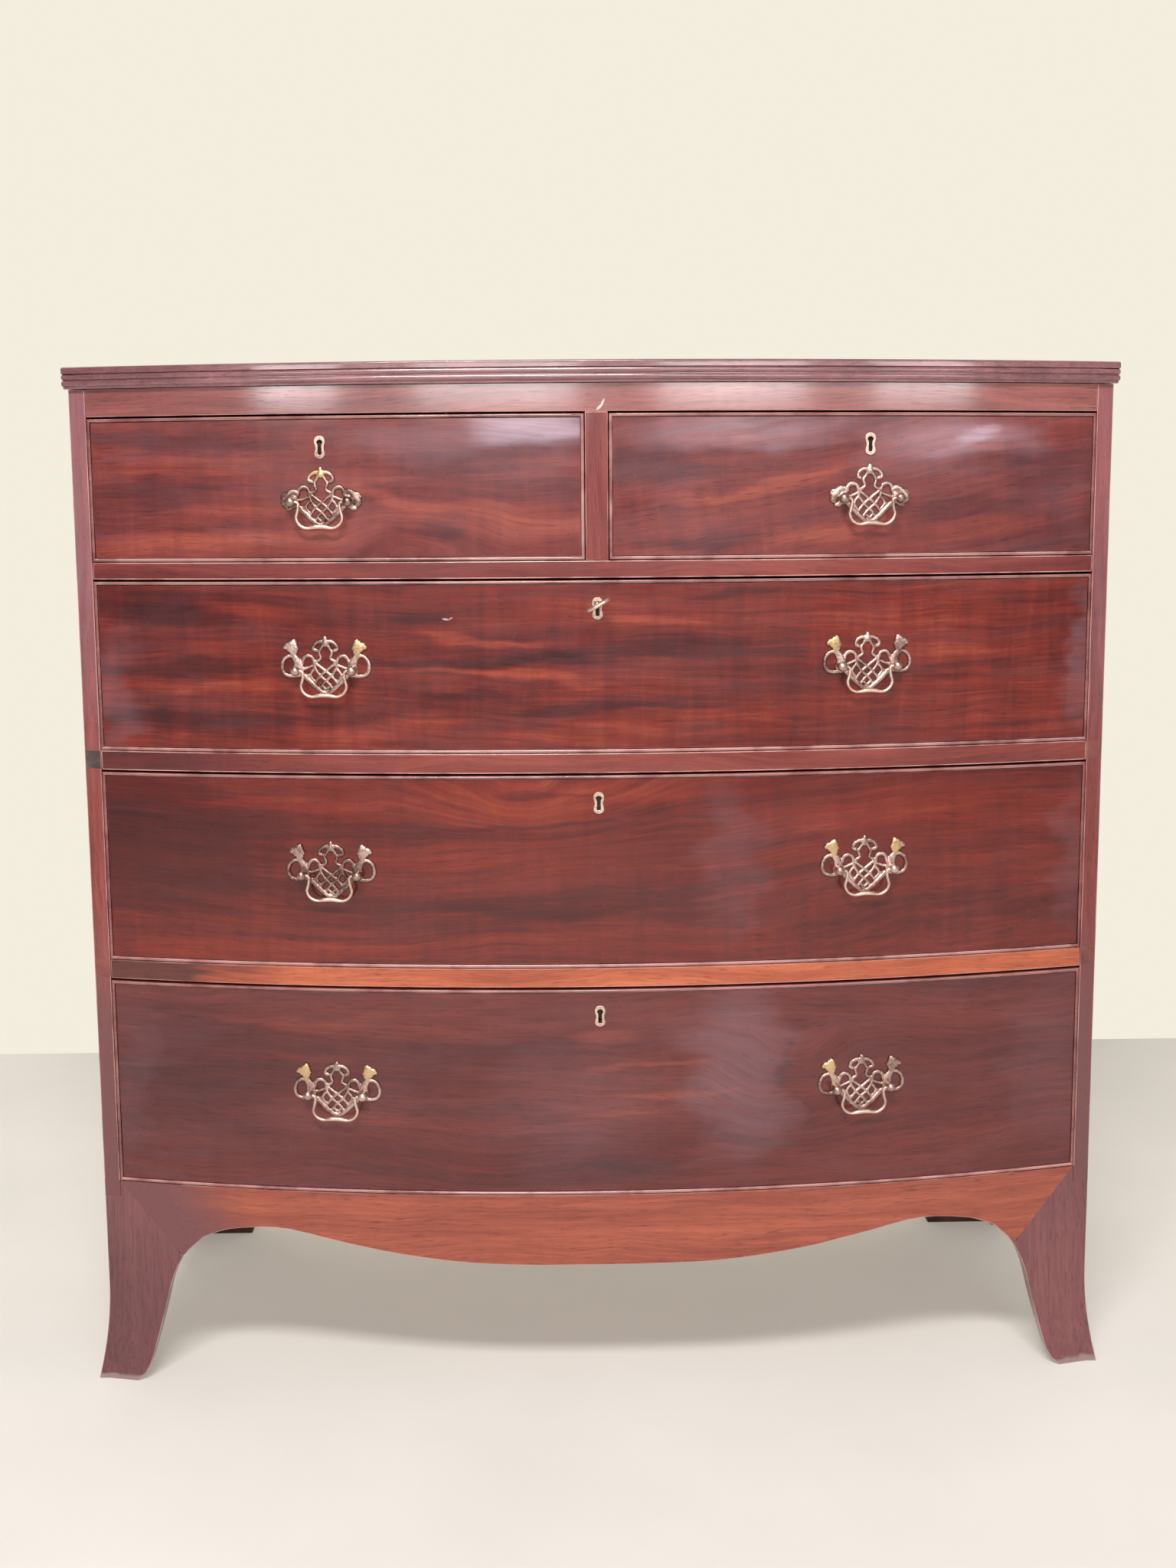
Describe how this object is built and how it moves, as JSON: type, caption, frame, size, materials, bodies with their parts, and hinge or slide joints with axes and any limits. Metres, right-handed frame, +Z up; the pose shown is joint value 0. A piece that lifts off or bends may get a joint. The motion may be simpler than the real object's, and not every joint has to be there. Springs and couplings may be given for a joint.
{
  "type": "chest of drawers",
  "caption": "Bow-front mahogany chest with short drawers over long ones, cockbeaded fronts, pierced brass bail pulls and splayed bracket feet.",
  "frame": {"origin": "middle of the box round the chest, key included, on the floor", "axes": "+Z up, +Y towards the back, +X to the right as seen from the front; the drawers open along -Y"},
  "size_m": [1.054, 0.5052, 1.04],
  "materials": {
    "top_mahogany": "polished, worn",
    "case_mahogany": "polished",
    "drawer_mahogany": "polished, flame figure",
    "apron_mahogany": "polished",
    "foot_mahogany": "polished, worn",
    "drawer_oak": "bare",
    "pine": "bare",
    "aged_brass": "worn, lightly tarnished",
    "lock_steel": "dull"
  },
  "bodies": {
    "carcase": {"top_board": "top_mahogany", "side_left": "case_mahogany", "side_right": "case_mahogany", "back_panel": "pine", "frieze_rail": "case_mahogany", "rail_upper": "case_mahogany", "rail_middle": "case_mahogany", "rail_lower": "case_mahogany", "dustboard_upper": "pine", "dustboard_middle": "pine", "dustboard_lower": "pine", "bottom_board": "pine", "short_drawer_divider": "case_mahogany", "short_drawer_partition": "pine", "apron_front": "apron_mahogany", "apron_left": "apron_mahogany", "apron_right": "apron_mahogany", "foot_front_left": "foot_mahogany", "foot_front_right": "foot_mahogany", "foot_rear_left": "foot_mahogany", "foot_rear_right": "foot_mahogany"},
    "top_left_drawer": {"top_left_drawer_front": "drawer_mahogany", "top_left_drawer_box": "drawer_oak", "top_left_drawer_bottom": "pine", "top_left_drawer_escutcheon": "aged_brass", "top_left_drawer_plate": "aged_brass"},
    "top_right_drawer": {"top_right_drawer_front": "drawer_mahogany", "top_right_drawer_box": "drawer_oak", "top_right_drawer_bottom": "pine", "top_right_drawer_escutcheon": "aged_brass", "top_right_drawer_plate": "aged_brass"},
    "upper_drawer": {"upper_drawer_front": "drawer_mahogany", "upper_drawer_box": "drawer_oak", "upper_drawer_bottom": "pine", "upper_drawer_escutcheon": "aged_brass", "upper_drawer_left_plate": "aged_brass", "upper_drawer_right_plate": "aged_brass", "lock_case": "lock_steel"},
    "middle_drawer": {"middle_drawer_front": "drawer_mahogany", "middle_drawer_box": "drawer_oak", "middle_drawer_bottom": "pine", "middle_drawer_escutcheon": "aged_brass", "middle_drawer_left_plate": "aged_brass", "middle_drawer_right_plate": "aged_brass"},
    "lower_drawer": {"lower_drawer_front": "drawer_mahogany", "lower_drawer_box": "drawer_oak", "lower_drawer_bottom": "pine", "lower_drawer_escutcheon": "aged_brass", "lower_drawer_left_plate": "aged_brass", "lower_drawer_right_plate": "aged_brass"},
    "top_left_bail": {"top_left_drawer_bail": "aged_brass"},
    "top_right_bail": {"top_right_drawer_bail": "aged_brass"},
    "upper_left_bail": {"upper_drawer_left_bail": "aged_brass"},
    "upper_right_bail": {"upper_drawer_right_bail": "aged_brass"},
    "middle_left_bail": {"middle_drawer_left_bail": "aged_brass"},
    "middle_right_bail": {"middle_drawer_right_bail": "aged_brass"},
    "lower_left_bail": {"lower_drawer_left_bail": "aged_brass"},
    "lower_right_bail": {"lower_drawer_right_bail": "aged_brass"},
    "key": {"key": "aged_brass"},
    "lock_bolt": {"lock_bolt": "aged_brass"}
  },
  "joints": [
    {"name": "top_left_drawer_slide", "type": "slide", "parent": "carcase", "child": "top_left_drawer", "axis": [0, -1, 0], "range_m": [0, 0.28]},
    {"name": "top_right_drawer_slide", "type": "slide", "parent": "carcase", "child": "top_right_drawer", "axis": [0, -1, 0], "range_m": [0, 0.28]},
    {"name": "upper_drawer_slide", "type": "slide", "parent": "carcase", "child": "upper_drawer", "axis": [0, -1, 0], "range_m": [0, 0.28]},
    {"name": "middle_drawer_slide", "type": "slide", "parent": "carcase", "child": "middle_drawer", "axis": [0, -1, 0], "range_m": [0, 0.28]},
    {"name": "lower_drawer_slide", "type": "slide", "parent": "carcase", "child": "lower_drawer", "axis": [0, -1, 0], "range_m": [0, 0.28]},
    {"name": "top_left_bail_swing", "type": "hinge", "parent": "top_left_drawer", "child": "top_left_bail", "pos_m": [-0.26643, -0.21276, 0.9085], "axis": [-0.9912, 0.1322, 0], "range_deg": [0, 90]},
    {"name": "top_right_bail_swing", "type": "hinge", "parent": "top_right_drawer", "child": "top_right_bail", "pos_m": [0.26643, -0.21276, 0.9085], "axis": [-0.9912, -0.1322, 0], "range_deg": [0, 90]},
    {"name": "upper_left_bail_swing", "type": "hinge", "parent": "upper_drawer", "child": "upper_left_bail", "pos_m": [-0.26643, -0.21276, 0.746], "axis": [-0.9912, 0.1322, 0], "range_deg": [0, 90]},
    {"name": "upper_right_bail_swing", "type": "hinge", "parent": "upper_drawer", "child": "upper_right_bail", "pos_m": [0.26643, -0.21276, 0.746], "axis": [-0.9912, -0.1322, 0], "range_deg": [0, 90]},
    {"name": "middle_left_bail_swing", "type": "hinge", "parent": "middle_drawer", "child": "middle_left_bail", "pos_m": [-0.26643, -0.21276, 0.5435], "axis": [-0.9912, 0.1322, 0], "range_deg": [0, 90]},
    {"name": "middle_right_bail_swing", "type": "hinge", "parent": "middle_drawer", "child": "middle_right_bail", "pos_m": [0.26643, -0.21276, 0.5435], "axis": [-0.9912, -0.1322, 0], "range_deg": [0, 90]},
    {"name": "lower_left_bail_swing", "type": "hinge", "parent": "lower_drawer", "child": "lower_left_bail", "pos_m": [-0.26643, -0.21276, 0.3185], "axis": [-0.9912, 0.1322, 0], "range_deg": [0, 90]},
    {"name": "lower_right_bail_swing", "type": "hinge", "parent": "lower_drawer", "child": "lower_right_bail", "pos_m": [0.26643, -0.21276, 0.3185], "axis": [-0.9912, -0.1322, 0], "range_deg": [0, 90]},
    {"name": "key_turn", "type": "hinge", "parent": "upper_drawer", "child": "key", "pos_m": [0, -0.21965, 0.809], "axis": [0, 1, 0], "range_deg": [0, 150]},
    {"name": "lock_bolt_throw", "type": "slide", "parent": "upper_drawer", "child": "lock_bolt", "axis": [0, 0, 1], "range_m": [0, 0.008]}
  ],
  "couplings": [
    {"joint": "lock_bolt_throw", "follows": "key_turn", "m_per_rad": 0.003055}
  ]
}
